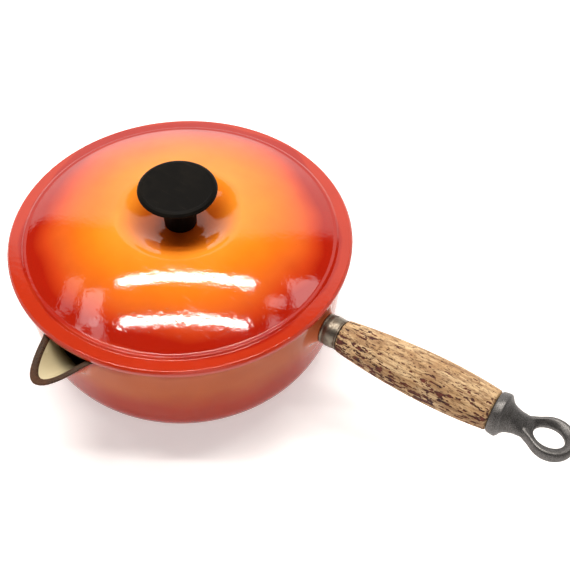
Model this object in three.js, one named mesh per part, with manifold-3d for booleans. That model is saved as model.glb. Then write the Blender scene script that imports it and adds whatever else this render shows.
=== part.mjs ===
// A lidded enamelled cast iron saucepan with one pouring lip and a wooden handle that unscrews.
//
// Millimetres, +Z up. The origin is the middle of the flat base, the handle runs out along +X and
// the pouring lip points along -Y. The lid stands on the rim and lifts straight up.
import * as THREE from "three";
import { mergeVertices } from "three/addons/utils/BufferGeometryUtils.js";
import Module from "manifold-3d";

const wasm = await Module();
wasm.setup();

// ---------------------------------------------------------------- driving dimensions
const GAP = 0.3; // between pieces that touch

const PAN_HEIGHT = 85;
const RIM_RADIUS = 104; // outside of the wall at the rim
const WALL = 3.8;
const WALL_LEAN = THREE.MathUtils.degToRad(4);
const CORNER_RADIUS = 36; // outside radius between wall and base
const FLOOR = 4.5;
const RIM_ROUND = 1;

const LIP_REACH = 133.7; // from the pan's axis to the lip's tip
const LIP_ROOT = 88; // the radius that the lip's swell starts from, inside the wall
const LIP_SPREAD = THREE.MathUtils.degToRad(10.4);
const LIP_DEPTH = 31; // below the rim, where the swell of the wall begins
const LIP_BLEND = 7;
const LIP_DROOP = 2; // how far the tip hangs below the rim
const LIP_TURN = THREE.MathUtils.degToRad(-0.3); // from -Y, away from the handle

const LID_RADIUS = 107;
const LID_FLANGE = 4.7; // thickness
const FLANGE_TOP = PAN_HEIGHT + GAP + LID_FLANGE;
const STEP_RADIUS = 97.5; // a shallow step runs round the foot of the dome
const FOOT_RADIUS = 94.7;
const STEP_HEIGHT = 1;
const DOME_RADIUS = 246; // of the sphere that the dome is cut from
const DISH_RADIUS = 33; // lip of the dish that the knob stands in
const DISH_FLOOR_RADIUS = 16;
const DISH_FLOOR = FLANGE_TOP + 8.2;
const LID_WALL = 3.9;
const LOCATING_RING = 3; // how far the ring reaches down inside the pan

const KNOB_RADIUS = 24;
const KNOB_TOP = FLANGE_TOP + 38.4;
const KNOB_STEM_RADIUS = 9.9;
const KNOB_BASE = DISH_FLOOR + GAP;

const SCREW_RADIUS = 3;
const SCREW_ENGAGED = 9;
const SCREW_HEAD_RADIUS = 5.6;
const SCREW_HEAD = 3.1;
const WASHER_RADIUS = 8.2;
const WASHER = 1;
const INSERT_RADIUS = 5;
const INSERT_LENGTH = 14;

const HANDLE_TILT = THREE.MathUtils.degToRad(3);
const HANDLE_X = 107.5; // where the handle's axis leaves the boss's face
const HANDLE_Z = 70.4;
const BOSS_FACE_RADIUS = 9.8;
const STUB_RADIUS = 6.5; // the pan's threaded stub, inside ferrule and grip
const STUB_LENGTH = 20;
const ROD_RADIUS = 4;
const THREAD_ENGAGED = 19;
const FERRULE_RADIUS = 9.8;
const FERRULE_LENGTH = 11.2;
const GRIP_START = GAP + FERRULE_LENGTH + GAP; // all along the handle's axis, from the boss's face
const GRIP_END = 109.5;
const GRIP_THICKEST = 14.4;
const GRIP_END_RADIUS = 12;
const LOOP_START = GRIP_END + GAP;
const LOOP_RING_RADIUS = 13.1;
const LOOP_RING_AT = 33.6; // ring's middle, from the loop casting's start
const LOOP_HOLE_AT = 32;
const LOOP_HOLE = [8.6, 6.5]; // half length and half width
const LOOP_THICKNESS = 8;
const LOOP_BEVEL = 2;
const ROD_IN_LOOP = 9;

const ROUND = 60; // facets around the pan and lid
const SMALL_ROUND = 28;

// ---------------------------------------------------------------- helpers
const point = (r, h) => new THREE.Vector2(r, h);

/** Points of an arc about (r, h), from one angle to another, in degrees. */
function arc(r, h, radius, from, to, steps) {
  return Array.from({ length: steps + 1 }, (_, i) => {
    const a = THREE.MathUtils.degToRad(from + ((to - from) * i) / steps);
    return point(r + radius * Math.cos(a), h + radius * Math.sin(a));
  });
}

/** A body of revolution about Z from an outline of (radius, height) points. */
function turned(outline, segments = SMALL_ROUND) {
  return new THREE.LatheGeometry(outline, segments).rotateX(Math.PI / 2);
}

/** A closed ring about Z: its outline goes round once and meets itself. */
function ring(inner, outer, low, high, chamfer = 0.4, segments = SMALL_ROUND) {
  return turned(
    [
      point(inner, low),
      point(outer - chamfer, low),
      point(outer, low + chamfer),
      point(outer, high - chamfer),
      point(outer - chamfer, high),
      point(inner, high),
      point(inner, low),
    ],
    segments,
  );
}

/** Turns a shape made along Z so that it lies along the handle's axis. */
const alongHandle = (geometry) => geometry.rotateY(Math.PI / 2);

function toSolid(geometry) {
  const bare = geometry.index ? geometry.toNonIndexed() : geometry.clone();
  bare.deleteAttribute("normal");
  bare.deleteAttribute("uv");
  const merged = mergeVertices(bare, 1e-3);
  return new wasm.Manifold(
    new wasm.Mesh({
      numProp: 3,
      vertProperties: merged.attributes.position.array,
      triVerts: new Uint32Array(merged.index.array),
    }),
  );
}

function toGeometry(solid) {
  const mesh = solid.getMesh();
  const geometry = new THREE.BufferGeometry();
  geometry.setAttribute("position", new THREE.BufferAttribute(mesh.vertProperties, 3));
  geometry.setIndex(new THREE.BufferAttribute(mesh.triVerts, 1));
  geometry.computeVertexNormals();
  return geometry;
}

function piece(name, geometry, material, parent) {
  const mesh = new THREE.Mesh(geometry, material);
  mesh.name = name;
  parent.add(mesh);
  return mesh;
}

// ---------------------------------------------------------------- materials
const material = (color, roughness, metalness = 0) =>
  new THREE.MeshStandardMaterial({ color, roughness, metalness });
const ENAMEL = material(0xd8481f, 0.12);
const PHENOLIC = material(0x1b1817, 0.45);
const WOOD = material(0xb58a58, 0.75);
const STEEL = material(0x8d867b, 0.35, 1);
const CAST_METAL = material(0x5d5956, 0.55, 1);
const BRASS = material(0xb08d4a, 0.35, 1);

// ---------------------------------------------------------------- the pan
/** Outside radius of the leaning wall at a height. */
const wallAt = (z) => RIM_RADIUS - (PAN_HEIGHT - z) * Math.tan(WALL_LEAN);

/** The larger of two radii, rounded over where they are within a blend of each other. */
function blendedMax(a, b, blend) {
  const near = Math.max(blend - Math.abs(a - b), 0) / blend;
  return Math.max(a, b) + (near * near * blend) / 4;
}

/** How far the lip's outside stands from the pan's axis, at an angle from the lip's middle. */
function lipRadius(angle, height) {
  const rise = THREE.MathUtils.clamp((height - (PAN_HEIGHT - LIP_DEPTH)) / LIP_DEPTH, 0, 1);
  const spread = LIP_SPREAD * (0.6 + 0.4 * rise);
  const swell = Math.pow(rise, 0.85) * Math.exp(-((angle / spread) ** 2));
  return LIP_ROOT + (LIP_REACH - LIP_ROOT) * swell;
}

/** Radius of a surface that keeps an inset, measured square to the outside in plan. */
function insetRadius(angle, height, wall, inset) {
  const outside = (a) => blendedMax(wall, lipRadius(a, height - inset * 0.25), LIP_BLEND);
  let radius = outside(angle) - inset;
  for (let step = -8; step <= 8; step++) {
    const turn = THREE.MathUtils.degToRad(step * 0.3);
    const near = outside(angle + turn);
    const across = near * Math.sin(turn);
    if (Math.abs(across) >= inset) continue;
    radius = Math.min(radius, near * Math.cos(turn) - Math.sqrt(inset ** 2 - across ** 2));
  }
  return radius;
}

/** Half outline of the pan: base, outside wall, rim, inside wall and floor, as {r, z, inset}. */
function panOutline() {
  const degrees = THREE.MathUtils.radToDeg(WALL_LEAN);
  const cornerR = wallAt(CORNER_RADIUS) - CORNER_RADIUS / Math.cos(WALL_LEAN);
  const innerCorner = CORNER_RADIUS - WALL;
  const outside = (p) => ({ r: p.x, z: p.y, inset: 0 });
  const inside = (p) => ({ r: p.x, z: p.y, inset: WALL });
  const upright = (z, inset = 0) => ({ r: wallAt(z) - inset, z, inset });
  const wallHeights = [50, 56, 62, 68, 74, 79];
  return [
    ...[point(0, 0), point(cornerR * 0.5, 0)].map(outside),
    ...arc(cornerR, CORNER_RADIUS, CORNER_RADIUS, -90, -degrees, 7).map(outside),
    ...wallHeights.map((z) => upright(z)),
    upright(PAN_HEIGHT - RIM_ROUND),
    upright(PAN_HEIGHT, RIM_ROUND),
    upright(PAN_HEIGHT, WALL - RIM_ROUND),
    upright(PAN_HEIGHT - RIM_ROUND, WALL),
    ...wallHeights.toReversed().map((z) => upright(z, WALL)),
    ...arc(cornerR, innerCorner + FLOOR, innerCorner, -degrees, -90, 6).map(inside),
    ...[point(cornerR * 0.5, FLOOR), point(0, FLOOR)].map(inside),
  ];
}

/** Angles around the pan from the lip's middle: close together at the lip and wider elsewhere. */
function panAngles() {
  const fine = 2.5;
  const fineReach = 20;
  const coarseSteps = 52;
  const angles = [];
  for (let a = -fineReach; a < fineReach; a += fine) angles.push(a);
  for (let i = 0; i < coarseSteps; i++) angles.push(fineReach + ((360 - 2 * fineReach) * i) / coarseSteps);
  return angles.map((a) => THREE.MathUtils.degToRad(a));
}

/** A bowl of revolution whose radius swells at -Y into the pouring lip. */
function bowl() {
  const outline = panOutline();
  const angles = panAngles();
  const positions = [];
  for (const angle of angles) {
    const fromLip = angle > Math.PI ? angle - 2 * Math.PI : angle;
    const turn = angle + LIP_TURN;
    for (const { r, z, inset } of outline) {
      const radius = z > PAN_HEIGHT - LIP_DEPTH ? insetRadius(fromLip, z, wallAt(z), inset) : r;
      const out = THREE.MathUtils.smoothstep(radius, RIM_RADIUS + 2, LIP_REACH);
      const top = z - LIP_DROOP * out * THREE.MathUtils.smoothstep(z, PAN_HEIGHT - LIP_DEPTH, PAN_HEIGHT);
      positions.push(radius * Math.sin(turn), -radius * Math.cos(turn), top);
    }
  }
  const rows = outline.length;
  const index = [];
  angles.forEach((_, i) => {
    const here = i * rows;
    const next = ((i + 1) % angles.length) * rows;
    for (let j = 0; j < rows - 1; j++) {
      index.push(here + j, next + j, next + j + 1, here + j, next + j + 1, here + j + 1);
    }
  });
  const geometry = new THREE.BufferGeometry();
  geometry.setAttribute("position", new THREE.Float32BufferAttribute(positions, 3));
  geometry.setIndex(index);
  return geometry;
}

const handleFrame = new THREE.Matrix4()
  .makeTranslation(HANDLE_X, 0, HANDLE_Z)
  .multiply(new THREE.Matrix4().makeRotationY(-HANDLE_TILT));

/** The boss that fairs into the wall, and the stub that the ferrule and grip slip over. */
function bossAndStub() {
  const rootInWall = -6.5;
  return alongHandle(
    turned([
      point(0, rootInWall),
      point(14.5, rootInWall),
      point(13.4, -4),
      point(11, -1.6),
      point(BOSS_FACE_RADIUS, 0),
      point(STUB_RADIUS, 0),
      point(STUB_RADIUS, STUB_LENGTH - 0.8),
      point(STUB_RADIUS - 0.8, STUB_LENGTH),
      point(0, STUB_LENGTH),
    ]),
  ).applyMatrix4(handleFrame);
}

function threadedHole() {
  const hole = [point(0, -2), point(ROD_RADIUS + GAP, -2)];
  const mouth = [point(ROD_RADIUS + GAP, STUB_LENGTH + 5), point(0, STUB_LENGTH + 5)];
  return alongHandle(turned([...hole, ...mouth])).applyMatrix4(handleFrame);
}

function panBody() {
  return toGeometry(toSolid(bowl()).add(toSolid(bossAndStub())).subtract(toSolid(threadedHole())));
}

// ---------------------------------------------------------------- the lid
/** Height of the dome's top over a radius. Its foot stands on the flange's step. */
function domeAt(r) {
  const sag = (x) => DOME_RADIUS - Math.sqrt(DOME_RADIUS ** 2 - x * x);
  return FLANGE_TOP + STEP_HEIGHT + sag(FOOT_RADIUS) - sag(r);
}

/** Height of the dish between its floor and its lip, an S curve. */
function dishAt(r) {
  const t = THREE.MathUtils.smoothstep(r, DISH_FLOOR_RADIUS, DISH_RADIUS + 6);
  return DISH_FLOOR + (domeAt(DISH_RADIUS + 6) - DISH_FLOOR) * t;
}

function lidBody() {
  const hole = SCREW_RADIUS + 0.4;
  const domeRadii = [88, 80, 71, 62, 53, 46];
  const dishRadii = [39, 35.5, 32, 28.5, 25, 21, 16];
  const seat = PAN_HEIGHT + GAP;
  const ringOuter = RIM_RADIUS - WALL - 1.6;
  const ringInner = ringOuter - 4.5;
  const under = (r) => (r > DISH_RADIUS + 6 ? domeAt(r) : dishAt(r)) - LID_WALL;
  const underRadii = [...dishRadii.toReversed(), ...domeRadii.toReversed()];
  const outline = [
    point(hole, DISH_FLOOR - LID_WALL),
    ...underRadii.map((r) => point(r, under(r))),
    point(ringInner, seat + 0.6),
    point(ringInner + 0.6, seat - LOCATING_RING),
    point(ringOuter - 0.6, seat - LOCATING_RING),
    point(ringOuter, seat),
    point(LID_RADIUS - 1, seat),
    point(LID_RADIUS, seat + 1.2),
    point(LID_RADIUS, FLANGE_TOP - 1.7),
    point(LID_RADIUS - 1.4, FLANGE_TOP - 0.3),
    point(STEP_RADIUS, FLANGE_TOP),
    point(STEP_RADIUS - 0.5, FLANGE_TOP + STEP_HEIGHT - 0.1),
    point(FOOT_RADIUS, domeAt(FOOT_RADIUS)),
    ...domeRadii.map((r) => point(r, domeAt(r))),
    ...dishRadii.map((r) => point(r, dishAt(r))),
    point(hole, DISH_FLOOR),
    point(hole, DISH_FLOOR - LID_WALL),
  ];
  return turned(outline, ROUND);
}

// ---------------------------------------------------------------- the knob and its fixings
function knob() {
  const cavity = INSERT_RADIUS + GAP;
  const cavityTop = KNOB_BASE + INSERT_LENGTH + 2 * GAP;
  const edge = KNOB_TOP - 1.8;
  return turned(
    [
      point(0, cavityTop),
      point(cavity, cavityTop),
      point(cavity, KNOB_BASE),
      point(KNOB_STEM_RADIUS, KNOB_BASE),
      point(KNOB_STEM_RADIUS + 0.4, KNOB_BASE + 12),
      point(KNOB_STEM_RADIUS + 1.4, KNOB_BASE + 19),
      point(KNOB_STEM_RADIUS + 4.5, KNOB_BASE + 23.4),
      point(KNOB_RADIUS - 1.2, edge - 2),
      point(KNOB_RADIUS, edge - 0.6),
      point(KNOB_RADIUS - 0.2, edge + 0.7),
      point(KNOB_RADIUS - 1.6, KNOB_TOP - 0.2),
      point(KNOB_RADIUS - 4, KNOB_TOP),
      point(0, KNOB_TOP - 0.5),
    ],
    44,
  );
}

function knobInsert() {
  const low = KNOB_BASE + GAP;
  return ring(SCREW_RADIUS + GAP, INSERT_RADIUS, low, low + INSERT_LENGTH, 0.5, 20);
}

const washerTop = DISH_FLOOR - LID_WALL - GAP;
const headTop = washerTop - WASHER - GAP;

function knobWasher() {
  return ring(SCREW_RADIUS + 0.5, WASHER_RADIUS, washerTop - WASHER, washerTop, 0.25);
}

/** A cheese-head screw with a slot across the underside of its head. */
function knobScrew() {
  const tip = KNOB_BASE + GAP + SCREW_ENGAGED;
  const screw = turned(
    [
      point(0, headTop - SCREW_HEAD),
      point(SCREW_HEAD_RADIUS - 0.8, headTop - SCREW_HEAD),
      point(SCREW_HEAD_RADIUS, headTop - SCREW_HEAD + 0.8),
      point(SCREW_HEAD_RADIUS, headTop),
      point(SCREW_RADIUS, headTop),
      point(SCREW_RADIUS, tip - 0.8),
      point(SCREW_RADIUS - 0.8, tip),
      point(0, tip),
    ],
    24,
  );
  const slot = new THREE.BoxGeometry(1.5, 3 * SCREW_HEAD_RADIUS, 2.8);
  slot.translate(0, 0, headTop - SCREW_HEAD);
  return toGeometry(toSolid(screw).subtract(toSolid(slot)));
}

// ---------------------------------------------------------------- the handle
function ferrule() {
  return alongHandle(ring(STUB_RADIUS + GAP, FERRULE_RADIUS, GAP, GAP + FERRULE_LENGTH, 0.5));
}

/** Radius of the turned grip: a quick swell out of the ferrule, thickest past the middle. */
function gripRadius(t) {
  const start = FERRULE_RADIUS + 0.2;
  const swell = Math.sin((Math.PI / 2) * Math.min(t / 0.62, 1));
  const fall = Math.max(t - 0.62, 0) / 0.38;
  const eased = start + (GRIP_THICKEST - start) * Math.pow(swell, 0.85);
  return eased - (GRIP_THICKEST - GRIP_END_RADIUS) * fall * fall;
}

function grip() {
  const steps = 15;
  const counterbore = STUB_LENGTH + GAP;
  const outside = Array.from({ length: steps + 1 }, (_, i) => {
    const t = (i / steps) ** 1.25;
    return point(gripRadius(t), GRIP_START + (GRIP_END - GRIP_START) * t);
  });
  outside[0].x -= 0.5;
  const profile = [
    point(STUB_RADIUS + GAP, GRIP_START),
    ...outside,
    point(ROD_RADIUS + GAP, GRIP_END),
    point(ROD_RADIUS + GAP, counterbore),
    point(STUB_RADIUS + GAP, counterbore),
    point(STUB_RADIUS + GAP, GRIP_START),
  ];
  return alongHandle(turned(profile));
}

/** The steel rod that draws the loop, grip and ferrule up against the boss. */
function tieRod() {
  const tip = STUB_LENGTH - THREAD_ENGAGED;
  const end = LOOP_START + ROD_IN_LOOP - GAP;
  const shank = ROD_RADIUS - 0.4;
  return alongHandle(
    turned(
      [
        point(0, tip),
        point(ROD_RADIUS - 0.8, tip),
        point(ROD_RADIUS, tip + 0.8),
        point(ROD_RADIUS, STUB_LENGTH + 2),
        point(shank, STUB_LENGTH + 2.4),
        point(shank, end - 14),
        point(ROD_RADIUS, end - 13.6),
        point(ROD_RADIUS, end),
        point(0, end),
      ],
      16,
    ),
  );
}

/** Plan of the casting's flat part: a neck that starts inside the cup and widens into the ring. */
function loopPlan() {
  const neck = [
    point(8, 8.9),
    point(12, 7.8),
    point(15, 7.5),
    point(18, 7.8),
    point(21, 8.8),
    point(24.5, 10.3),
  ];
  const half = [...neck, ...arc(LOOP_RING_AT, 0, LOOP_RING_RADIUS, 115, 0, 9)];
  const otherHalf = half.slice(0, -1).toReversed().map((p) => point(p.x, -p.y));
  const plan = new THREE.Shape([...half, ...otherHalf].toReversed());
  const hole = arc(0, 0, 1, 0, 350, 35).map((p) => point(LOOP_HOLE_AT + p.x * LOOP_HOLE[0], p.y * LOOP_HOLE[1]));
  plan.holes.push(new THREE.Path(hole));
  return plan;
}

/** Cup over the grip's end, a round neck that flattens, and the ring that the pan hangs by. */
function hangingLoop() {
  const cup = alongHandle(
    turned([
      point(0, 0),
      point(GRIP_END_RADIUS - 0.2, 0),
      point(GRIP_END_RADIUS + 0.2, 1),
      point(GRIP_END_RADIUS + 0.8, 5.2),
      point(GRIP_END_RADIUS, 6.8),
      point(9.4, 8.4),
      point(7.9, 11.5),
      point(6.4, 16),
      point(4.2, 21),
      point(0, 21.6),
    ]),
  );
  const flat = new THREE.ExtrudeGeometry(loopPlan(), {
    depth: LOOP_THICKNESS - 2 * LOOP_BEVEL,
    bevelThickness: LOOP_BEVEL,
    bevelSize: LOOP_BEVEL,
    bevelOffset: -LOOP_BEVEL,
    bevelSegments: 2,
    curveSegments: 10,
  }).translate(0, 0, LOOP_BEVEL - LOOP_THICKNESS / 2);
  const socket = alongHandle(
    turned([
      point(0, -1),
      point(ROD_RADIUS + GAP, -1),
      point(ROD_RADIUS + GAP, ROD_IN_LOOP),
      point(0, ROD_IN_LOOP),
    ]),
  );
  return toGeometry(toSolid(cup).add(toSolid(flat)).subtract(toSolid(socket))).translate(LOOP_START, 0, 0);
}

// ---------------------------------------------------------------- assembly
const saucepan = new THREE.Group();
piece("pan_body", panBody(), ENAMEL, saucepan);
piece("lid_body", lidBody(), ENAMEL, saucepan);
piece("knob", knob(), PHENOLIC, saucepan);
piece("knob_insert", knobInsert(), BRASS, saucepan);
piece("knob_washer", knobWasher(), STEEL, saucepan);
piece("knob_screw", knobScrew(), STEEL, saucepan);

const handle = new THREE.Group();
handle.position.set(HANDLE_X, 0, HANDLE_Z);
handle.rotation.y = -HANDLE_TILT;
saucepan.add(handle);
piece("ferrule", ferrule(), STEEL, handle);
piece("wooden_grip", grip(), WOOD, handle);
piece("tie_rod", tieRod(), STEEL, handle);
piece("hanging_loop", hangingLoop(), CAST_METAL, handle);

export default saucepan;
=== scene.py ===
"""Looks of the lidded cast iron saucepan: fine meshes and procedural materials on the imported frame.

Shapes are worked out in millimetres in the part's frame (+X over the handle, the pouring lip
towards -Y, +Z up, origin under the middle of the base) and scaled to metres when a mesh is made.
"""
import math

import bpy
import numpy as np
from mathutils import Matrix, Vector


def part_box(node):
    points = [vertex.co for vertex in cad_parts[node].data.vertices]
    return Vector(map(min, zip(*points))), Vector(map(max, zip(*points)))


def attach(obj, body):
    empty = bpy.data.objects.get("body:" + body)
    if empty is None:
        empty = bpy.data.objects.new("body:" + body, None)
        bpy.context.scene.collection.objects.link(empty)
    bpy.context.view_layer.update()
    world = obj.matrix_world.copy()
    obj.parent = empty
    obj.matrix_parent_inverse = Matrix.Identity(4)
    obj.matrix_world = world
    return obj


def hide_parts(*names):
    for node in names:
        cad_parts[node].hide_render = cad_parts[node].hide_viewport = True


MM = 0.001
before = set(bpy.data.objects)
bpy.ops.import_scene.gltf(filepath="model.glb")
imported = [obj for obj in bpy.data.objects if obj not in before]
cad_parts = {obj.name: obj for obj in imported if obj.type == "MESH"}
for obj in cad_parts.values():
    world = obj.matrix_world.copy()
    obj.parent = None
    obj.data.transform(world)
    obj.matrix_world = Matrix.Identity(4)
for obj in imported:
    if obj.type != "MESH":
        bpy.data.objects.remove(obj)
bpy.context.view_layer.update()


def top_of(node):
    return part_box(node)[1].z / MM


# ------------------------------------------------------------------ sizes, in millimetres
PAN_TOP = top_of("pan_body")
RIM_RADIUS = 104.0
WALL = 3.8
WALL_LEAN = math.radians(4)
CORNER = 36.0
FLOOR = 4.5
# The lip reaches 0.3 less far than in the CAD, so that its finer rim stays inside the CAD's box.
LIP_REACH, LIP_ROOT, LIP_SPREAD, LIP_DROOP = 133.4, 88.0, math.radians(10.4), 2.0
LIP_DEPTH, LIP_BLEND, LIP_TURN = 31.0, 7.0, math.radians(-0.3)
LIP_THINNING = 0.22  # the share of the wall's thickness that is missing at the lip's middle

GAP = 0.3
FLANGE_TOP = PAN_TOP + GAP + 4.7
LID_RADIUS, STEP_RADIUS, FOOT_RADIUS, STEP_HEIGHT = 107.0, 97.5, 94.7, 1.0
DOME_RADIUS, DISH_RADIUS, DISH_FLOOR_RADIUS = 246.0, 33.0, 16.0
DISH_FLOOR = FLANGE_TOP + 8.2
LID_WALL = 3.9

KNOB_TOP, KNOB_BASE, KNOB_RADIUS = top_of("knob"), DISH_FLOOR + GAP, 24.0

HANDLE_AT = (107.5, 0.0, 70.4)
HANDLE_TILT = math.radians(3)
STUB_RADIUS, STUB_LENGTH, BOSS_RADIUS = 6.5, 20.0, 9.8
GRIP_START, GRIP_END, GRIP_THICKEST, GRIP_END_RADIUS = 11.8, 109.5, 14.4, 12.0
LOOP_START = GRIP_END + GAP


# ------------------------------------------------------------------ meshes
def along_handle(points):
    """Takes points made about +Z to the handle's axis."""
    x, y, z = points.T
    c, s = math.cos(HANDLE_TILT), math.sin(HANDLE_TILT)
    return np.stack([HANDLE_AT[0] + z * c - x * s, y, HANDLE_AT[2] + z * s + x * c], 1)


def mesh_object(name, points, faces, materials, zones=None, attribute=None):
    mesh = bpy.data.meshes.new(name)
    mesh.from_pydata((points * MM).tolist(), [], faces)
    for material in materials:
        mesh.materials.append(material)
    if zones is not None:
        mesh.polygons.foreach_set("material_index", zones)
    if attribute is not None:
        layer = mesh.attributes.new(attribute[0], "FLOAT", "POINT")
        layer.data.foreach_set("value", attribute[1].astype(np.float32))
    mesh.polygons.foreach_set("use_smooth", [True] * len(mesh.polygons))
    mesh.update()
    piece = bpy.data.objects.new(name, mesh)
    bpy.context.scene.collection.objects.link(piece)
    return piece


def grid_faces(columns, rows, wrap_rows=False):
    """Quads of a grid that closes round its columns, and the row of each quad."""
    faces, row_of = [], []
    for i in range(columns):
        here, there = i * rows, (i + 1) % columns * rows
        for j in range(rows if wrap_rows else rows - 1):
            k = (j + 1) % rows
            faces.append((here + j, there + j, there + k, here + k))
            row_of.append(j)
    return faces, row_of


def filleted(corners, steps=5):
    """Points of a polyline whose corners (r, z, fillet radius) are rounded off."""
    points = []
    for i, corner in enumerate(corners):
        here = np.array(corner[:2], float)
        radius = corner[2] if len(corner) > 2 else 0
        if not radius:
            points.append(here)
            continue
        before = np.array(corners[i - 1][:2], float) - here
        after = np.array(corners[i + 1][:2], float) - here
        before_length, after_length = np.linalg.norm(before), np.linalg.norm(after)
        before, after = before / before_length, after / after_length
        half = math.acos(max(-1, min(1, before @ after))) / 2
        cut = min(radius / math.tan(half), before_length * 0.49, after_length * 0.49)
        start, end = here + before * cut, here + after * cut
        for t in np.linspace(0, 1, steps + 1):
            points.append((1 - t) ** 2 * start + 2 * t * (1 - t) * here + t**2 * end)
    return np.array(points)


def refined(points, longest):
    """Splits an outline's long segments."""
    out = [points[0]]
    for a, b in zip(points[:-1], points[1:]):
        count = max(1, math.ceil(np.linalg.norm(b - a) / longest))
        out += [a + (b - a) * k / count for k in range(1, count + 1)]
    return np.array(out)


def turned(outline, segments, radius_at=None):
    """Points and faces of an outline turned about Z. Axis points stay as a tight ring."""
    angle = np.linspace(0, 2 * math.pi, segments, endpoint=False)[:, None]
    r = np.maximum(outline[:, 0], 0.01)[None, :] + 0 * angle
    z = outline[:, 1][None, :] + 0 * angle
    if radius_at is not None:
        r = radius_at(r, z, angle + 0 * r)
    points = np.stack([r * np.cos(angle), r * np.sin(angle), z], 2).reshape(-1, 3)
    faces, row_of = grid_faces(segments, len(outline))
    return points, faces, np.array(row_of)


def lattice_noise(points, seed):
    """Smooth noise from 0 to 1 at points in lattice units."""
    cell = np.floor(points).astype(np.int64)
    part = points - cell
    part = part * part * (3 - 2 * part)
    total = np.zeros(len(points))
    for corner in np.ndindex(2, 2, 2):
        at = cell + corner
        mixed = at[:, 0] * 374761393 + at[:, 1] * 668265263 + at[:, 2] * 2147483647 + seed * 974634777
        mixed = (mixed ^ (mixed >> 13)) * 1274126177
        value = ((mixed ^ (mixed >> 16)) & 0xFFFF) / 65535
        weight = np.prod(np.where(corner, part, 1 - part), axis=1)
        total += value * weight
    return total


def smooth_between(value, low, high):
    t = np.clip((value - low) / (high - low), 0, 1)
    return t * t * (3 - 2 * t)


# ------------------------------------------------------------------ procedural surfaces
class Surface:
    """A material under construction: each method adds a node and gives its output back."""

    def __init__(self, name, **constants):
        self.material = bpy.data.materials.new(name)
        self.material.use_nodes = True
        self.tree = self.material.node_tree
        self.shader = self.tree.nodes["Principled BSDF"]
        self.where = self.tree.nodes.new("ShaderNodeTexCoord").outputs["Object"]
        self.normal = None
        for socket, value in constants.items():
            self.shader.inputs[socket.replace("_", " ")].default_value = value

    def node(self, kind, values=(), **settings):
        node = self.tree.nodes.new("ShaderNode" + kind)
        for key, value in settings.items():
            setattr(node, key, value)
        for socket, value in dict(values).items():
            if isinstance(value, bpy.types.NodeSocket):
                self.tree.links.new(value, node.inputs[socket])
            elif isinstance(value, tuple) and len(value) == 3 and node.inputs[socket].type == "RGBA":
                node.inputs[socket].default_value = (*value, 1)
            else:
                node.inputs[socket].default_value = value
        return node

    def stretched(self, scale, turn=(0, 0, 0)):
        return self.node("Mapping", {"Vector": self.where, "Scale": scale, "Rotation": turn}).outputs[0]

    def noise(self, scale, detail=4.0, vector=None, distortion=0.0, roughness=0.55):
        values = {"Vector": vector or self.where, "Scale": scale, "Detail": detail}
        values |= {"Distortion": distortion, "Roughness": roughness}
        return self.node("TexNoise", values).outputs[0]

    def cells(self, scale):
        return self.node("TexVoronoi", {"Vector": self.where, "Scale": scale}).outputs[0]

    def ramp(self, value, low, high, start=0.0, end=1.0):
        values = {0: value, 1: low, 2: high, 3: start, 4: end}
        return self.node("MapRange", values, interpolation_type="SMOOTHSTEP").outputs[0]

    def calc(self, operation, a, b=0.0):
        return self.node("Math", {0: a, 1: b}, operation=operation).outputs[0]

    def mix(self, factor, a, b):
        return self.node("Mix", {0: factor, 6: a, 7: b}, data_type="RGBA").outputs[2]

    def shade(self, value, stops):
        """Colour along a value: stops are (position, colour)."""
        node = self.node("ValToRGB", {0: value})
        ramp = node.color_ramp
        while len(ramp.elements) < len(stops):
            ramp.elements.new(0.5)
        for element, (position, colour) in zip(ramp.elements, stops):
            element.position, element.color = position, (*colour, 1)
        return node.outputs[0]

    def axis(self, name):
        return self.node("SeparateXYZ", {0: self.where}).outputs[name]

    def along(self, direction):
        """How far a point lies along a direction, in metres."""
        values = {0: self.where, 1: direction}
        return self.node("VectorMath", values, operation="DOT_PRODUCT").outputs["Value"]

    def from_axis(self):
        """Distance from the pan's own axis, in metres."""
        flat = self.node("Mapping", {"Vector": self.where, "Scale": (1, 1, 0)}).outputs[0]
        return self.node("VectorMath", {0: flat}, operation="LENGTH").outputs["Value"]

    def bump(self, height, depth):
        """Relief from a height of 0 to 1. Depth is in millimetres."""
        values = {"Height": height, "Distance": depth * MM, "Strength": 1.0}
        if self.normal:
            values["Normal"] = self.normal
        self.normal = self.node("Bump", values).outputs[0]

    def done(self, colour, roughness, metallic=None):
        values = {"Base Color": colour, "Roughness": roughness, "Metallic": metallic}
        for socket, value in values.items():
            if isinstance(value, bpy.types.NodeSocket):
                self.tree.links.new(value, self.shader.inputs[socket])
            elif value is not None:
                self.shader.inputs[socket].default_value = value
        if self.normal:
            self.tree.links.new(self.normal, self.shader.inputs["Normal"])
            if self.shader.inputs["Coat Weight"].default_value:
                self.tree.links.new(self.normal, self.shader.inputs["Coat Normal"])
        return self.material


def tone(*levels):
    """A colour given as red, green and blue on a screen, 0 to 255."""
    return tuple(c / 255 / 12.92 if c < 10 else ((c / 255 + 0.055) / 1.055) ** 2.4 for c in levels)


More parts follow.
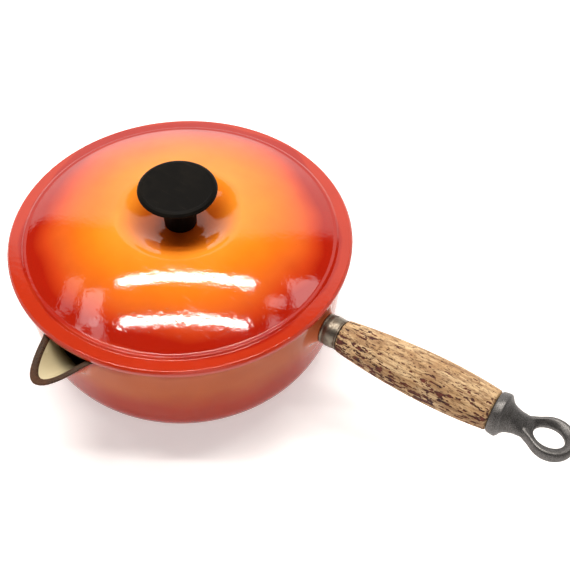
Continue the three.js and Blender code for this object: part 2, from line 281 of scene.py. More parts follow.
def enamel(name, colour_of, specular):
    """Glossy vitreous enamel: fine specks in the glaze, a slight orange peel and hairline wear."""
    s = Surface(name, IOR=1.5, Specular_IOR_Level=specular)
    colour = colour_of(s)
    mottle = s.noise(38, 5)
    colour = s.mix(s.ramp(mottle, 0.35, 0.75, 0.0, 0.22), colour, s.mix(0.6, colour, tone(120, 22, 12)))
    specks = s.ramp(s.cells(420), 0.0, 0.16, 1.0, 0.0)
    rare = s.ramp(s.noise(190, 2), 0.6, 0.66)
    colour = s.mix(s.calc("MULTIPLY", s.calc("MULTIPLY", specks, rare), 0.35), colour, tone(90, 22, 12))
    scratches = s.ramp(s.noise(60, 8, s.stretched((1, 14, 5), (0.3, 0.2, 0.7))), 0.62, 0.7)
    s.bump(s.noise(170, 2), 0.05)
    s.bump(s.noise(420, 2, roughness=0.6), 0.045)
    glaze = s.ramp(s.noise(90, 6), 0.3, 0.8, 0.03, 0.08)
    return s.done(colour, s.calc("ADD", glaze, s.calc("MULTIPLY", scratches, 0.1)))


def lid_colour(s):
    """Orange shaded to deep red at the edge, with the orange reaching further towards the back as
    painted light on the lit far side, and a darker dish round the knob as painted shade.
    """
    wander = s.ramp(s.noise(14, 2), 0.25, 0.75, -0.004, 0.004)
    # painted light: the far side from the camera gets more orange, for the light it catches from the
    # backdrop and the back tube
    lean = s.calc("MULTIPLY", s.ramp(s.along((-0.552, 0.834, 0)), 0.0, 0.1), -0.008)
    radius = s.calc("ADD", s.calc("ADD", s.from_axis(), wander), lean)
    # painted shade: the first stops, inside the dish, are darker for the knob's shadow falling there
    stops = [(0.0, tone(188, 72, 12)), (0.2, tone(204, 94, 18)), (0.29, tone(216, 118, 28))]
    stops += [(0.37, tone(222, 136, 38)), (0.5, tone(220, 122, 24)), (0.62, tone(218, 106, 22))]
    stops += [(0.72, tone(207, 90, 28)), (0.81, tone(190, 60, 20)), (0.88, tone(160, 26, 7))]
    stops += [(0.96, tone(160, 28, 9)), (0.975, tone(176, 46, 20))]
    return s.shade(s.calc("MULTIPLY", radius, 10), stops)


def pan_colour(s):
    """Deep red at the base and orange up the wall; the darker top of the wall and its deep red again at
    the rim are painted shade under the lid's overhang.
    """
    wander = s.ramp(s.noise(16, 2), 0.25, 0.75, -0.006, 0.006)
    height = s.calc("MULTIPLY", s.calc("ADD", s.axis("Z"), wander), 11)
    stops = [(0.0, tone(122, 14, 8)), (0.22, tone(142, 26, 14)), (0.5, tone(156, 46, 20))]
    # painted shade: the top stops are darker orange, turning deep red at the rim, for the shadow under
    # the lid's flange
    stops += [(0.7, tone(171, 82, 38)), (0.86, tone(170, 82, 40)), (0.95, tone(140, 32, 14))]
    return s.shade(height, stops)


def cream_enamel():
    """The light inside coat, with faint cooking stains towards the floor."""
    s = Surface("cream enamel", IOR=1.5, Coat_Weight=0.3, Coat_Roughness=0.06)
    base = s.shade(s.noise(26, 5), [(0.3, tone(196, 181, 142)), (0.7, tone(207, 193, 158))])
    low = s.ramp(s.axis("Z"), 0.006, 0.03, 1.0, 0.0)
    blotches = s.ramp(s.noise(55, 7, distortion=0.6), 0.48, 0.68)
    stain = s.calc("MULTIPLY", blotches, s.calc("ADD", low, 0.2))
    colour = s.mix(s.calc("MULTIPLY", stain, 0.3), base, tone(146, 112, 67))
    dots = s.ramp(s.cells(500), 0.0, 0.14, 1.0, 0.0)
    specks = s.calc("MULTIPLY", dots, s.ramp(s.noise(160, 2), 0.58, 0.64))
    colour = s.mix(s.calc("MULTIPLY", specks, 0.5), colour, tone(95, 74, 48))
    s.bump(s.noise(170, 2), 0.06)
    s.bump(s.noise(800, 2), 0.012)
    return s.done(colour, s.ramp(s.noise(70, 6), 0.3, 0.8, 0.12, 0.34))


def cast_surface(name, dark, light, rust, grain, shine, metallic, specular=0.5):
    """Bare or blackened sand-cast iron: grainy, darker in the hollows of the grain."""
    s = Surface(name, IOR=1.6, Specular_IOR_Level=specular)
    grains = s.noise(2300, 3, roughness=0.7)
    patches = s.noise(90, 6)
    colour = s.mix(s.ramp(grains, 0.35, 0.68), dark, light)
    colour = s.mix(s.ramp(patches, 0.45, 0.75, 0.0, 0.55), colour, rust)
    pits = s.ramp(s.cells(900), 0.05, 0.3, 1.0, 0.0)
    sparse = s.calc("MULTIPLY", pits, s.ramp(s.noise(300, 2), 0.5, 0.6))
    colour = s.mix(s.calc("MULTIPLY", sparse, 0.7), colour, dark)
    s.bump(s.noise(320, 4), 0.06 * grain)
    s.bump(grains, 0.03 * grain)
    s.bump(s.calc("SUBTRACT", 1.0, sparse), 0.05 * grain)
    return s.done(colour, s.ramp(patches, 0.3, 0.75, shine, shine + 0.22), metallic)


def turned_metal(name, colour, tarnish, lines, roughness):
    """Machined metal with fine rings about its axis and blotches of tarnish."""
    s = Surface(name, IOR=1.5)
    rings = s.noise(1.0, 3, s.stretched(lines))
    blotch = s.noise(210, 6, distortion=0.4)
    tint = s.mix(s.ramp(blotch, 0.42, 0.7, 0.0, 0.8), colour, tarnish)
    tint = s.mix(s.ramp(rings, 0.4, 0.7, 0.0, 0.25), tint, s.mix(0.5, tint, (0.02, 0.015, 0.01)))
    s.bump(rings, 0.02)
    s.bump(s.noise(900, 3), 0.008)
    return s.done(tint, s.ramp(blotch, 0.3, 0.75, roughness, roughness + 0.25), 1.0)


def phenolic():
    """Moulded black plastic, dulled by use, with pale dust in a fine grain and light scuffs."""
    s = Surface("black phenolic", IOR=1.42, Specular_IOR_Level=0.05)
    grain = s.noise(1300, 3)
    wear = s.noise(75, 7, distortion=0.5)
    colour = s.mix(s.ramp(wear, 0.4, 0.75), tone(12, 10, 8), tone(21, 18, 14))
    colour = s.mix(s.ramp(grain, 0.62, 0.75, 0.0, 0.25), colour, tone(36, 31, 26))
    scuffs = s.ramp(s.noise(45, 8, s.stretched((1, 9, 4), (0.2, 0.4, 1.1))), 0.63, 0.7)
    colour = s.mix(s.calc("MULTIPLY", scuffs, 0.15), colour, tone(52, 45, 38))
    s.bump(grain, 0.02)
    s.bump(wear, 0.05)
    return s.done(colour, s.ramp(wear, 0.3, 0.8, 0.42, 0.6))


def worn_wood():
    """Light hardwood with long grain. The piece's own 'pit' values say where it is split and pitted."""
    s = Surface("worn hardwood", IOR=1.42)
    grain = s.noise(9, 6, s.stretched((5, 50, 50)), distortion=0.4)
    fibres = s.noise(34, 6, s.stretched((4, 80, 80)))
    flecks = s.noise(50, 4, s.stretched((7, 30, 30), (0, 0, 0.06)), distortion=0.7)
    cloud = s.noise(60, 3, s.stretched((1, 2, 2)))
    pale = s.mix(s.ramp(cloud, 0.35, 0.65), tone(184, 146, 102), tone(216, 184, 140))
    colour = s.mix(s.ramp(grain, 0.35, 0.62, 0.75, 0.0), pale, tone(134, 94, 56))
    colour = s.mix(s.ramp(fibres, 0.5, 0.72, 0.0, 0.6), colour, tone(104, 68, 38))
    colour = s.mix(s.ramp(flecks, 0.54, 0.64, 0.0, 0.75), colour, tone(92, 54, 30))
    pit = s.node("Attribute", attribute_name="pit", attribute_type="GEOMETRY").outputs["Fac"]
    stain = s.shade(s.noise(260, 3), [(0.35, tone(52, 14, 20)), (0.65, tone(98, 36, 26))])
    colour = s.mix(s.ramp(pit, 0.08, 0.5, 0.0, 0.95), colour, stain)
    s.bump(fibres, 0.16)
    s.bump(s.calc("SUBTRACT", 1.0, s.ramp(flecks, 0.54, 0.66)), 0.25)
    roughness = s.ramp(grain, 0.3, 0.7, 0.58, 0.78)
    return s.done(colour, roughness)


LID_ENAMEL = enamel("lid enamel", lid_colour, 0.45)
PAN_ENAMEL = enamel("pan enamel", pan_colour, 0.1)
CREAM = cream_enamel()
DARK_RIM = cast_surface(
    "bare rim", tone(26, 17, 11), tone(84, 58, 38), tone(96, 56, 32),
    grain=2.0, shine=0.55, metallic=0.0, specular=0.15,
)
BARE_IRON = cast_surface(
    "bare casting", tone(56, 54, 53), tone(114, 111, 109), tone(70, 66, 63),
    grain=1.1, shine=0.34, metallic=0.8,
)
STUB_IRON = cast_surface(
    "machined stub", tone(70, 66, 62), tone(140, 134, 126), tone(104, 72, 48),
    grain=0.3, shine=0.4, metallic=0.9,
)
FERRULE_METAL = turned_metal(
    "tarnished ferrule", tone(128, 119, 106), tone(66, 52, 42), (2600, 40, 40), 0.3
)
STEEL = turned_metal(
    "zinc plated steel", tone(186, 184, 178), tone(128, 120, 106), (60, 60, 2600), 0.24
)
ROD_STEEL = turned_metal("rod steel", tone(150, 148, 144), tone(96, 80, 66), (2600, 60, 60), 0.3)
BRASS = turned_metal("brass", tone(206, 168, 92), tone(132, 96, 50), (60, 60, 2600), 0.25)
PHENOLIC = phenolic()
WOOD = worn_wood()


# ------------------------------------------------------------------ the pan
def blended_max(a, b, blend):
    """The larger of two values, with the change from one to the other rounded off."""
    near = np.maximum(blend - np.abs(a - b), 0) / blend
    return np.maximum(a, b) + near * near * blend / 4


def lip_radius(angle, height):
    """The pouring lip's distance from the pan's axis, at an angle from the lip's middle."""
    rise = np.clip((height - (PAN_TOP - LIP_DEPTH)) / LIP_DEPTH, 0, 1)
    spread = LIP_SPREAD * (0.6 + 0.4 * rise)
    return LIP_ROOT + (LIP_REACH - LIP_ROOT) * rise**0.85 * np.exp(-((angle / spread) ** 2))


def inset_radius(angle, height, inset):
    """Radius of a surface that keeps an inset, measured square to the pan's outside in plan."""

    def outside(a):
        return blended_max(wall_at(height), lip_radius(a, height - inset * 0.25), LIP_BLEND)

    radius = outside(angle) - inset
    for turn in np.radians(np.arange(-2.4, 2.41, 0.2)):
        near = outside(angle + turn)
        across = near * math.sin(turn)
        room = np.sqrt(np.maximum(inset**2 - across**2, 0))
        nearer = np.minimum(radius, near * math.cos(turn) - room)
        radius = np.where(np.abs(across) < inset, nearer, radius)
    return radius


def wall_at(z):
    return RIM_RADIUS - (PAN_TOP - z) * math.tan(WALL_LEAN)


def pan_outline():
    """Rows of (radius, height, inset, zone). Zones: 0 enamel, 1 cream, 2 bare rim."""
    corner_r = wall_at(CORNER) - CORNER / math.cos(WALL_LEAN)
    lean = math.degrees(WALL_LEAN)
    rows = [(r, z, 0, 0) for r, z in ((0, 0.5), (30, 0.5), (corner_r - 6, 0.5), (corner_r - 4.5, 0.35))]
    rows += [(corner_r - 2.5, 0.02, 0, 0)]
    for a in np.radians(np.linspace(-90, -lean, 26)):
        rows.append((corner_r + CORNER * math.cos(a), CORNER + CORNER * math.sin(a), 0, 0))
    rows += [(wall_at(z), z, 0, 0) for z in np.linspace(CORNER, PAN_TOP - 1.6, 42)[1:]]
    for a in np.radians(np.linspace(0, 180, 13)[1:-1]):
        inset = WALL * (1 - math.cos(a)) / 2
        lift = 1.5 * math.sin(a) ** 0.7
        rows.append((wall_at(PAN_TOP) - inset, PAN_TOP - 1.52 + lift, inset, 2))
    inner = CORNER - WALL
    heights = np.linspace(PAN_TOP - 1.8, CORNER, 40)
    rows += [(wall_at(z) - WALL, z, WALL, 1) for z in heights[:-1]]
    for a in np.radians(np.linspace(-lean, -90, 24)):
        rows.append((corner_r + inner * math.cos(a), FLOOR + inner + inner * math.sin(a), WALL, 1))
    rows += [(r, FLOOR, WALL, 1) for r in (45, 25, 0)]
    return np.array(rows)


def pan_bowl():
    rows = pan_outline()
    lip_angles = np.radians(np.arange(-24, 24, 0.75))
    rest = np.linspace(math.radians(24), math.radians(336), 190, endpoint=False)
    angle = np.concatenate([lip_angles, rest])[:, None]
    from_lip = np.where(angle > math.pi, angle - 2 * math.pi, angle)
    r, z, inset = (rows[:, k][None, :] + 0 * angle for k in range(3))
    above = z > PAN_TOP - LIP_DEPTH
    thinned = inset * (1 - LIP_THINNING * np.exp(-((from_lip / LIP_SPREAD) ** 2)))
    r = np.maximum(np.where(above, inset_radius(from_lip, z, thinned), r), 0.01)
    out = smooth_between(r, RIM_RADIUS + 2, LIP_REACH)
    z = z - LIP_DROOP * out * smooth_between(z, PAN_TOP - LIP_DEPTH, PAN_TOP)
    turn = angle + LIP_TURN
    points = np.stack([r * np.sin(turn), -r * np.cos(turn), z], 2).reshape(-1, 3)
    faces, row_of = grid_faces(len(angle), len(rows))
    zones = rows[np.array(row_of), 3].astype(int)
    return mesh_object("pan_shell", points, faces, [PAN_ENAMEL, CREAM, DARK_RIM], zones)


def handle_boss():
    """The enamelled fairing between the wall and the ferrule, a skin that dips under the wall."""
    count, steps = 120, 44
    theta = np.linspace(0, 2 * math.pi, count, endpoint=False)[:, None]
    room = np.where(np.cos(theta) > 0, 1 - 0.48 * np.cos(theta) ** 2, 1.0)
    spread = np.linspace(0, 1, steps)[None, :]
    rho = STUB_RADIUS - 0.3 + (27 * room - STUB_RADIUS) * spread**1.5
    up, side = rho * np.cos(theta), rho * np.sin(theta)
    t_wall = np.zeros_like(rho)
    for _ in range(3):
        z = HANDLE_AT[2] + up * math.cos(HANDLE_TILT) + t_wall * math.sin(HANDLE_TILT)
        x = np.sqrt(np.maximum(wall_at(np.minimum(z, PAN_TOP)) ** 2 - side**2, 0))
        t_wall = (x - HANDLE_AT[0] + up * math.sin(HANDLE_TILT)) / math.cos(HANDLE_TILT)
    beyond = np.maximum(rho - (BOSS_RADIUS - 0.9), 0)
    t_boss = -0.02 - np.where(beyond < 0.9, 0.9 - np.sqrt(np.maximum(0.81 - beyond**2, 0)), 0.9)
    t_boss -= np.maximum(beyond - 0.9, 0) * 1.15
    t = np.where(rho < BOSS_RADIUS, t_boss, blended_max(t_boss, t_wall, 3.2))
    t = np.where(spread > 0.97, t_wall - 0.25, t)
    points = along_handle(np.stack([up, side, t], 2).reshape(-1, 3))
    faces, _ = grid_faces(count, steps)
    faces = [face[::-1] for face in faces]
    return mesh_object("handle_boss", points, faces, [PAN_ENAMEL])


def threaded(pitch, depth, low, high, sign=-1):
    """Radius of a screw thread between two heights, for turned()."""

    def radius_at(r, z, angle):
        phase = np.abs((z / pitch - angle / (2 * math.pi)) % 1.0 * 2 - 1)
        fade = smooth_between(z, low, low + pitch) * (1 - smooth_between(z, high - pitch, high))
        flank = smooth_between(phase, 0.12, 0.88)
        return r + sign * depth * flank * fade * (r > 1)

    return radius_at


def handle_stub():
    """The bare end of the pan's casting inside ferrule and grip, with its tapped bore."""
    bore = 4.3
    corners = [(STUB_RADIUS, -2.5), (STUB_RADIUS, STUB_LENGTH, 0.8)]
    corners += [(bore + 0.2, STUB_LENGTH, 0.4), (bore, 17), (bore, 1), (0, 0.2)]
    points, faces, _ = turned(refined(filleted(corners), 0.8), 64)
    return mesh_object("handle_stub", along_handle(points), faces, [STUB_IRON])


# ------------------------------------------------------------------ the lid
def dome_at(r):
    foot = math.sqrt(DOME_RADIUS**2 - FOOT_RADIUS**2)
    return FLANGE_TOP + STEP_HEIGHT + math.sqrt(DOME_RADIUS**2 - r**2) - foot


def lid_top_at(r):
    if r > DISH_RADIUS + 6:
        return dome_at(r)
    t = smooth_between(r, DISH_FLOOR_RADIUS, DISH_RADIUS + 6)
    return DISH_FLOOR + (dome_at(DISH_RADIUS + 6) - DISH_FLOOR) * t


def lid_shell():
    """Zones: 0 outside enamel, 1 cream underside, 2 bare contact face."""
    seat = PAN_TOP + GAP
    ring_out, ring_in = RIM_RADIUS - WALL - 1.6, RIM_RADIUS - WALL - 6.1
    hole = 3.4
    edge = LID_RADIUS - 0.01
    above = [(hole, DISH_FLOOR), *((r, lid_top_at(r)) for r in np.arange(6, FOOT_RADIUS - 2.5, 1.5))]
    foot, step = FOOT_RADIUS, STEP_RADIUS
    rim = [(foot - 2.1, dome_at(foot - 2.1)), (foot + 0.3, dome_at(foot + 0.3), 2.0)]
    rim += [(step - 0.6, FLANGE_TOP + STEP_HEIGHT - 0.15, 1.0), (step + 0.8, FLANGE_TOP, 0.9)]
    rim += [(105.7, FLANGE_TOP - 0.4, 0.7), (edge, FLANGE_TOP - 1.9, 0.9)]
    rim += [(edge, seat + 0.05, 1.3), (104.6, seat + 0.02)]
    above += filleted(rim, 6).tolist()
    contact = [(103.2, seat + 0.02), (101, seat + 0.02)]
    ring_corners = [(100, seat + 0.02), (ring_out, seat, 0.4), (ring_out - 0.3, seat - 3, 0.9)]
    ring_corners += [(ring_in + 0.4, seat - 3, 0.9), (ring_in, seat + 0.6, 1.5), (92.5, seat + 2.4)]
    ring = filleted(ring_corners).tolist()
    below = [(r, lid_top_at(r) - LID_WALL) for r in np.arange(91, 6, -1.5)]
    below += [(hole, DISH_FLOOR - LID_WALL), (hole, DISH_FLOOR)]
    outline = np.array([*above, *contact, *ring, *below])
    points, faces, row_of = turned(outline, 200)
    zones = np.where(row_of < len(above) - 1, 0, np.where(row_of < len(above) + 3, 2, 1))
    faces = [face[::-1] for face in faces]
    return mesh_object("lid_shell", points, faces, [LID_ENAMEL, CREAM, DARK_RIM], zones)


# ------------------------------------------------------------------ the knob and its fixings
def knob_body():
    top, base = KNOB_TOP, KNOB_BASE
    outline = filleted(
        [(0, base + 14.6), (5.3, base + 14.6), (5.3, base + 0.02), (9.9, base + 0.02, 0.5)]
        + [(10.2, base + 12), (11, base + 19, 4), (14.6, base + 23.2, 4), (22.4, top - 3.9, 1)]
        + [(KNOB_RADIUS - 0.3, top - 3.2, 0.6), (KNOB_RADIUS - 0.02, top - 2.2, 0.4)]
        + [(23.7, top - 1.3, 0.5), (22.9, top - 0.5, 0.5), (21.4, top - 0.02, 0.6)]
        + [(20.6, top - 0.3, 0.5), (0, top - 0.45)]
    )
    points, faces, _ = turned(refined(outline, 1.6), 128)
    faces = [face[::-1] for face in faces]
    return mesh_object("knob_body", points, faces, [PHENOLIC])


def brass_insert():
    low = KNOB_BASE + GAP
    high = low + 14
    corners = [(3.3, low), (4.95, low, 0.4), (4.95, low + 3), (4.4, low + 3.5)]
    corners += [(4.4, low + 6), (4.95, low + 6.5), (4.95, high, 0.4), (3.3, high, 0.2), (3.3, low)]

    def knurled(r, z, angle):
        return r - 0.18 * (r > 4.8) * (np.abs((angle * 14 / math.pi + z / 1.6) % 2 - 1))

    points, faces, _ = turned(refined(filleted(corners + [(3.31, low)])[:-1], 0.7), 112, knurled)
    return mesh_object("brass_insert", points, [face[::-1] for face in faces], [BRASS])


def washer():
    high = DISH_FLOOR - LID_WALL - GAP
    low = high - 1
    corners = [(3.5, high - 0.5), (3.5, low, 0.2), (8.18, low, 0.3)]
    corners += [(8.18, high, 0.3), (3.5, high, 0.2), (3.5, high - 0.5)]
    points, faces, _ = turned(filleted(corners), 72)
    return mesh_object("screw_washer", points, faces, [STEEL])


def slotted_screw():
    head_top = DISH_FLOOR - LID_WALL - GAP - 1 - GAP
    tip = KNOB_BASE + GAP + 9
    corners = [(0, head_top - 3.1), (5.55, head_top - 3.08, 0.9), (5.55, head_top - 0.02, 0.3)]
    corners += [(2.98, head_top - 0.02), (2.98, tip - 0.1, 0.8), (0, tip - 0.02)]
    outline = refined(filleted(corners), 0.13)
    points, faces, _ = turned(outline, 40, threaded(1.0, 0.45, head_top + 3.5, tip - 0.4))
    in_slot = (np.abs(points[:, 0]) < 0.72) & (points[:, 2] < head_top - 1.4)
    points[in_slot, 2] = head_top - 1.75
    return mesh_object("slotted_screw", points, faces, [STEEL])


# ------------------------------------------------------------------ the handle
def ferrule_collar():
    low, high = GAP, GAP + 11.2
    inner = STUB_RADIUS + GAP
    corners = [(inner, low + 1), (inner, low, 0.3), (9.55, low, 0.5), (9.55, low + 1.1, 0.3)]
    corners += [(9.3, low + 1.5, 0.2), (9.75, low + 4, 3), (9.78, high - 4, 3)]
    corners += [(9.3, high - 1.5, 0.2), (9.6, high - 1.1, 0.3), (9.6, high, 0.5)]
    corners += [(inner, high, 0.3), (inner, low + 1)]
    points, faces, _ = turned(refined(filleted(corners), 0.6), 96)
    return mesh_object("ferrule_collar", along_handle(points), faces, [FERRULE_METAL])


def grip_radius(t):
    start = BOSS_RADIUS + 0.2
    swell = np.sin(math.pi / 2 * np.minimum(t / 0.62, 1))
    fall = np.maximum(t - 0.62, 0) / 0.38
    return start + (GRIP_THICKEST - start) * swell**0.85 - (GRIP_THICKEST - GRIP_END_RADIUS) * fall**2


def turned_grip():
    """Turned hardwood, split and pitted along its grain, worst near the ferrule and underneath."""
    rows, count = 420, 220
    length = GRIP_END - GRIP_START
    t = np.linspace(0, 1, rows)[None, :]
    angle = np.linspace(0, 2 * math.pi, count, endpoint=False)[:, None]
    radius = grip_radius(t) - 0.55 + 0 * angle
    edge = np.minimum(t, 1 - t) * length
    radius = radius - 0.8 * (1 - smooth_between(edge, 0, 1.2)) ** 2
    along = t * length + 0 * angle
    side, up = radius * np.sin(angle), radius * np.cos(angle)
    where = np.stack([along, side, up], 2).reshape(-1, 3)
    wander = lattice_noise(where / [14, 3, 3], 3)[:, None] * [0.6, 1.2, 1.2]
    cracks = 0.62 * lattice_noise(where / [4.2, 0.74, 0.74] + wander, 5)
    cracks += 0.38 * lattice_noise(where / [1.5, 0.42, 0.42] + wander, 9)
    patches = lattice_noise(where / [16, 5, 5], 17)
    lower = smooth_between(-np.cos(angle + math.radians(-52)) + 0 * t, -0.5, 0.8).ravel()
    near_ferrule = (1 - smooth_between(t, 0.05, 0.4) + 0 * angle).ravel()
    amount = 0.55 * patches + 0.6 * lower + 0.35 * near_ferrule
    pit = smooth_between(cracks, 0.78 - 0.27 * amount, 0.85 - 0.27 * amount)
    fibre = lattice_noise(where / [18, 0.5, 0.5], 29)
    sink = 0.45 * pit + 0.08 * fibre
    radius = radius - sink.reshape(radius.shape) + 0.5
    points = np.stack([radius * np.cos(angle), radius * np.sin(angle), GRIP_START + along], 2)
    points = along_handle(points.reshape(-1, 3))
    faces, _ = grid_faces(count, rows)
    return mesh_object("turned_grip", points, faces, [WOOD], attribute=("pit", pit))


def grip_ends():
    """The grip's end faces and bore."""
    inner = STUB_RADIUS + GAP
    first, last = grip_radius(0) - 0.75, grip_radius(1) - 0.75
    corners = [(last, GRIP_END - 0.5), (last - 0.6, GRIP_END - 0.02, 0.3)]
    corners += [(4.3, GRIP_END - 0.02), (4.3, 20.3), (inner, 20.3), (inner, GRIP_START + 0.02)]
    corners += [(first - 0.6, GRIP_START + 0.02, 0.3), (first, GRIP_START + 0.5)]
    corners += [(first - 0.8, GRIP_START + 3), (last - 0.8, GRIP_END - 3), (last, GRIP_END - 0.5)]
    points, faces, _ = turned(refined(filleted(corners), 1.5), 96)
    zero = np.zeros(len(points))
    faces = [face[::-1] for face in faces]
    return mesh_object("grip_core", along_handle(points), faces, [WOOD], attribute=("pit", zero))


def threaded_rod():
    tip, end = STUB_LENGTH - 19, LOOP_START + 8.7
    corners = [(0, tip), (3.95, tip, 0.7), (3.95, 22.5), (3.6, 23.2), (3.6, end - 14)]
    corners += [(3.95, end - 13.3), (3.95, end, 0.5), (0, end)]
    outline = refined(filleted(corners), 0.16)

    def both_ends(r, z, angle):
        r = threaded(1.25, 0.5, tip + 0.3, 22.5)(r, z, angle)
        return threaded(1.25, 0.5, end - 13, end - 0.3)(r, z, angle)

    points, faces, _ = turned(outline, 36, both_ends)
    faces = [face[::-1] for face in faces]
    return mesh_object("threaded_rod", along_handle(points), faces, [ROD_STEEL])


def loop_casting():
    """Cup, neck and ring of the hanging loop, melted together as one casting."""
    along = np.array([0.02, 0.9, 3, 5.4, 6.4, 7.4, 8.6, 11, 14.5, 18, 20, 22.4])
    half_width = [11.8, 12.3, 12.7, 12.75, 11.7, 10.0, 8.8, 7.7, 7.0, 7.1, 7.5, 7.9]
    half_height = [11.8, 12.3, 12.7, 12.75, 11.7, 10.0, 8.8, 7.6, 6.3, 4.9, 4.0, 3.0]
    x = np.linspace(along[0], along[-1], 90)
    profile = np.stack([np.interp(x, along, half_height), x], 1)
    profile = np.concatenate([[[0, x[0]]], profile, [[0, x[-1]]]])
    cup_points, cup_faces, _ = turned(profile, 96)
    cup_points = cup_points[:, [2, 1, 0]]
    cup_points[:, 1] *= np.interp(cup_points[:, 0], along, np.divide(half_width, half_height))

    count, around = 160, 32
    alpha = np.linspace(0, 2 * math.pi, count, endpoint=False)[:, None]
    beta = np.linspace(0, 2 * math.pi, around, endpoint=False)[None, :]
    hole_at, half_long, half_wide = 32.0, 8.6, 6.5
    inner = half_long * half_wide / np.hypot(half_wide * np.cos(alpha), half_long * np.sin(alpha))
    centre_shift, ring = 1.6, 13.1
    outer = centre_shift * np.cos(alpha) + np.sqrt(ring**2 - (centre_shift * np.sin(alpha)) ** 2)
    toward_neck = np.exp(-(((alpha - math.pi) / 0.5) ** 2))
    outer = outer + 7.4 * toward_neck
    middle, half = (outer + inner) / 2, (outer - inner) / 2
    across = np.sign(np.cos(beta)) * np.abs(np.cos(beta)) ** 0.85
    thick = 4.0 - 1.5 * smooth_between(-across, -0.5, 0.9)
    height = thick * np.sign(np.sin(beta)) * np.abs(np.sin(beta)) ** 0.62
    radius = middle + half * across
    coordinates = [hole_at + radius * np.cos(alpha), radius * np.sin(alpha), height + 0 * alpha]
    ring_points = np.stack(coordinates, 2).reshape(-1, 3)
    ring_faces, _ = grid_faces(count, around, wrap_rows=True)

    offset = len(cup_points)
    faces = list(cup_faces) + [tuple(k + offset for k in face) for face in ring_faces]
    points = np.concatenate([cup_points, ring_points])
    raw = mesh_object("loop_casting", points, faces, [])
    melt = raw.modifiers.new("melt", "REMESH")
    melt.mode, melt.voxel_size, melt.use_smooth_shade = "VOXEL", 0.36 * MM, True
    soften = raw.modifiers.new("soften", "SMOOTH")
    soften.factor, soften.iterations = 0.5, 8
    graph = bpy.context.evaluated_depsgraph_get()
    melted = raw.evaluated_get(graph).to_mesh()
    points = np.array([v.co for v in melted.vertices]) / MM
    faces = [tuple(p.vertices) for p in melted.polygons]
    bpy.data.objects.remove(raw)
    points[:, 0] = np.maximum(points[:, 0], 0.02)
    local = np.stack([points[:, 2], points[:, 1], points[:, 0] + LOOP_START], 1)
    return mesh_object("loop_casting", along_handle(local), faces, [BARE_IRON])


# ------------------------------------------------------------------ stage, light and camera
PHOTO_TURN = math.radians(33.5)  # the handle's angle to the camera's left-right axis
TO_THE_BACK = (-math.sin(PHOTO_TURN), math.cos(PHOTO_TURN), 0)


def studio_surface():
    """White board lit from within a little, more so far behind, like a light tent."""
    s = Surface("studio table", IOR=1.4, Specular_IOR_Level=0.2)
    soft = s.noise(1.2, 4)
    colour = s.mix(s.ramp(soft, 0.3, 0.7), tone(240, 237, 236), tone(244, 242, 241))
    s.bump(s.noise(300, 3), 0.03)
    behind = s.along(TO_THE_BACK)
    s.shader.inputs["Emission Color"].default_value = (1, 0.985, 0.97, 1)
    s.tree.links.new(s.ramp(behind, 0.3, 1.6, 0.44, 1.2), s.shader.inputs["Emission Strength"])
    return s.done(colour, 0.6)


def studio_table():
    """A pale table top, dished up a little far away so that it has no hard horizon."""
    count, reach, drop = 48, 2600.0, 0.25
    u = np.linspace(-1, 1, count)
    x, y = np.meshgrid(u * reach, u * reach, indexing="ij")
    far = np.maximum(np.hypot(x, y) / reach - 0.4, 0)
    points = np.stack([x, y, -drop + reach * far**2], 2).reshape(-1, 3)
    faces = [
        (i * count + j, (i + 1) * count + j, (i + 1) * count + j + 1, i * count + j + 1)
        for i in range(count - 1)
        for j in range(count - 1)
    ]
    table = mesh_object("studio_table", points, faces, [studio_surface()])


def area_light(name, middle, size, aim, radiance, colour=(1, 1, 1)):
    """A soft panel. Middle and aim are in metres, in axes that have the camera looking along +Y."""
    data = bpy.data.lights.new(name, "AREA")
    data.shape, data.size, data.size_y = "RECTANGLE", size[0], size[1]
    data.energy = radiance * math.pi * size[0] * size[1]
    data.color = colour
    light = bpy.data.objects.new(name, data)
    turn = Matrix.Rotation(PHOTO_TURN, 4, "Z")
    middle, aim = turn @ Matrix.Translation(middle), turn @ Matrix.Translation(aim)
    away = aim.translation - middle.translation
    light.location = middle.translation
    facing = away.to_track_quat("-Z", "Y")
    if abs(away.z) > 0.999 * away.length:
        facing = Matrix.Rotation(PHOTO_TURN, 4, "Z").to_quaternion() @ facing
    light.rotation_mode = "QUATERNION"
    light.rotation_quaternion = facing
    bpy.context.scene.collection.objects.link(light)


def studio_world():
    """A dim room with a bright arch of backdrop behind the object."""
    world = bpy.data.worlds.new("studio")
    world.use_nodes = True
    nodes, links = world.node_tree.nodes, world.node_tree.links

    def step(kind, values, **settings):
        node = nodes.new("ShaderNode" + kind)
        for key, value in settings.items():
            setattr(node, key, value)
        for socket, value in enumerate(values):
            if isinstance(value, bpy.types.NodeSocket):
                links.new(value, node.inputs[socket])
            else:
                node.inputs[socket].default_value = value
        return node.outputs

    way = nodes.new("ShaderNodeTexCoord").outputs["Generated"]
    behind = step("VectorMath", (way, TO_THE_BACK), operation="DOT_PRODUCT")["Value"]
    up = step("SeparateXYZ", (way,))["Z"]
    behind_squared = step("Math", (behind, behind), operation="MULTIPLY")[0]
    up_squared = step("Math", (up, up), operation="MULTIPLY")[0]
    arch = step("Math", (up_squared, 0.31, behind_squared), operation="MULTIPLY_ADD")[0]
    inside = step("MapRange", (arch, 0.475, 0.555, 0.0, 1.0), interpolation_type="SMOOTHSTEP")[0]
    facing = step("MapRange", (behind, 0.0, 0.2, 0.0, 1.5), interpolation_type="SMOOTHSTEP")[0]
    strength = step("Math", (inside, facing, 0.04), operation="MULTIPLY_ADD")[0]
    links.new(strength, nodes["Background"].inputs["Strength"])
    nodes["Background"].inputs["Color"].default_value = (1.0, 0.97, 0.94, 1)
    bpy.context.scene.world = world


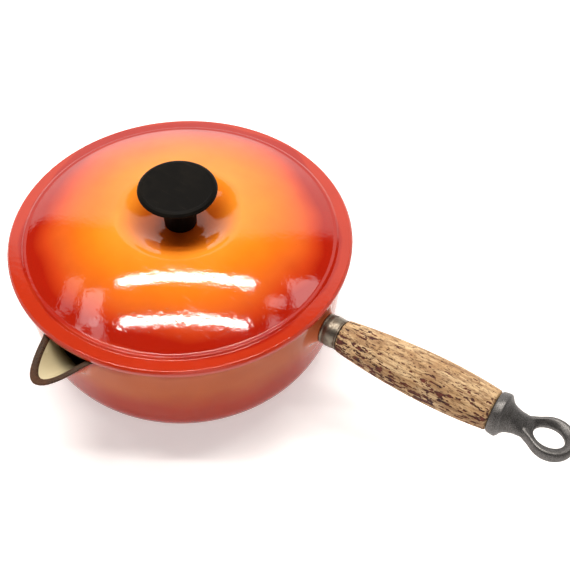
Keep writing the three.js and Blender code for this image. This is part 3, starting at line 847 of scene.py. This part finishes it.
def lighting():
    """Two tubes overhead, and dimmer patches of window light left and right."""
    lid = (0, 0, 0.09)
    warm, cool = (1.0, 0.97, 0.92), (1.0, 0.99, 0.98)
    area_light("tube_back", (-0.045, 0.245, 1.09), (0.86, 0.06), (-0.045, 0.245, 0), 53, warm)
    area_light("tube_front", (-0.04, -0.05, 1.09), (0.8, 0.05), (-0.04, -0.05, 0), 53, warm)
    for name, x, y, wide, deep, radiance in (
        ("window_left", -0.66, 0.1, 0.26, 0.15, 4.6),
        ("window_left_far", -0.86, 0.26, 0.28, 0.13, 2.0),
        ("window_left_near", -0.6, -0.07, 0.17, 0.09, 3.0),
        ("window_right", 0.8, 0.31, 0.26, 0.25, 4.2),
        ("window_right_inner", 0.55, 0.16, 0.08, 0.13, 4.0),
        ("window_right_near", 0.54, -0.03, 0.15, 0.08, 3.4),
    ):
        area_light(name, (x, y, 1.09), (wide, deep), lid, radiance, cool)
    studio_world()


def photo_camera():
    """The camera's place and turn, as solved from the lid's edges and the handle."""
    data = bpy.data.cameras.new("camera")
    data.lens, data.sensor_width = 57.03, 36.0
    data.clip_start, data.clip_end = 0.02, 50
    camera = bpy.data.objects.new("camera", data)
    bpy.context.scene.collection.objects.link(camera)
    pitch, yaw, roll = math.radians(50.26), math.radians(0.99), math.radians(1.56)
    ahead = np.array([math.sin(yaw), math.cos(yaw)]) * math.cos(pitch)
    forward = np.array([*ahead, -math.sin(pitch)])
    level = np.array([math.cos(yaw), -math.sin(yaw), 0])
    upright = np.cross(level, forward)
    right = math.cos(roll) * level + math.sin(roll) * upright
    up = math.cos(roll) * upright - math.sin(roll) * level
    turned_round = Matrix([list(row) for row in np.stack([right, up, -forward], 1)]).to_4x4()
    place = Matrix.Translation((0.05873, -0.38620, 0.41307))
    about_lid = Matrix.Translation((0, 0, FLANGE_TOP * MM)) @ Matrix.Rotation(PHOTO_TURN, 4, "Z")
    camera.matrix_world = about_lid @ place @ turned_round
    bpy.context.scene.camera = camera


# ------------------------------------------------------------------ assembly
def stands_for(piece, body, node=None):
    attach(piece, body)
    if node:
        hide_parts(node)


def build():
    stands_for(pan_bowl(), "pan", "pan_body")
    stands_for(handle_boss(), "pan")
    stands_for(handle_stub(), "pan")
    stands_for(lid_shell(), "lid", "lid_body")
    stands_for(knob_body(), "lid", "knob")
    stands_for(brass_insert(), "lid", "knob_insert")
    stands_for(washer(), "washer", "knob_washer")
    stands_for(slotted_screw(), "screw", "knob_screw")
    stands_for(ferrule_collar(), "grip", "ferrule")
    stands_for(turned_grip(), "grip", "wooden_grip")
    stands_for(grip_ends(), "grip")
    stands_for(threaded_rod(), "rod", "tie_rod")
    stands_for(loop_casting(), "rod", "hanging_loop")


build()
studio_table()
lighting()
photo_camera()
bpy.context.scene.view_settings.view_transform = "Standard"
